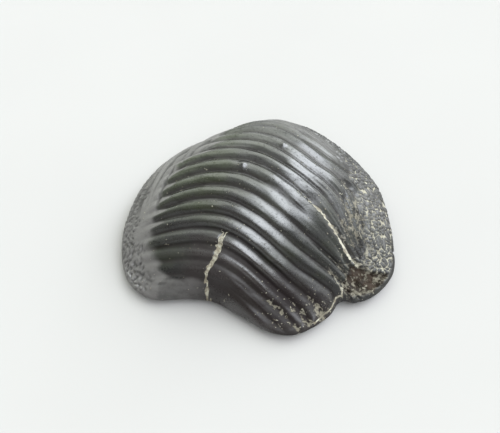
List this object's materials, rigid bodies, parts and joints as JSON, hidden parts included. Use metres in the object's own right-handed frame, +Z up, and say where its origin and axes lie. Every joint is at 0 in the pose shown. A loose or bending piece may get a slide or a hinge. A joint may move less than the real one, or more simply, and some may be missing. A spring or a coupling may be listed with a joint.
{
  "type": "fossil shark tooth",
  "caption": "Domed crushing tooth with parallel chewing ridges, a granular margin and a low two-lobed root, lying on its flat base.",
  "frame": {"origin": "centre of the bounding box, on the plane that the flat base of the root rests on", "axes": "+X along the chewing ridges, towards the broken corner; +Y to the back of the tooth, away from the hollow front edge; +Z up through the crown"},
  "size_m": [0.0408, 0.0358, 0.0148],
  "materials": {
    "fossil_enamel": "glossy near-black mineralised enamel with pale sediment in the grooves and cracks"
  },
  "bodies": {
    "root": {"tooth": "fossil_enamel"}
  },
  "joints": []
}
